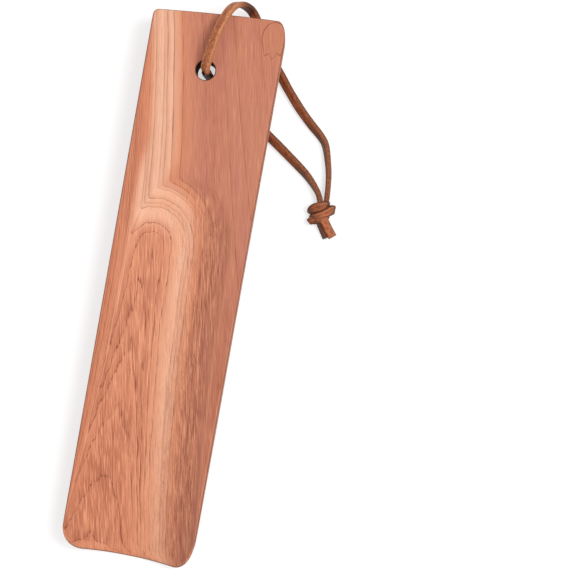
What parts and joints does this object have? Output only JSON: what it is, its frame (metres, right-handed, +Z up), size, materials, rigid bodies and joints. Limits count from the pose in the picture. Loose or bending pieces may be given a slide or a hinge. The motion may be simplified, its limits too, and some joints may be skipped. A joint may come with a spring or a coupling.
{
  "type": "shoe horn",
  "caption": "Flat cedar shoe horn with a long scooped blade, a plain grip, and a flat leather lace knotted through its hanging hole.",
  "frame": {"origin": "middle of the board's footprint, on the surface that the horn lies on, back down", "axes": "+X across the board, +Y from the blade's tip towards the hanging hole, +Z up out of the scooped face"},
  "size_m": [0.0716, 0.1877, 0.0209],
  "materials": {
    "cedar": "sanded, unvarnished",
    "leather": "matt, cut edges darker"
  },
  "bodies": {
    "root": {"cedar_body": "cedar", "lace_front_strand": "leather", "lace_back_strand": "leather", "lace_knot": "leather"}
  },
  "joints": []
}
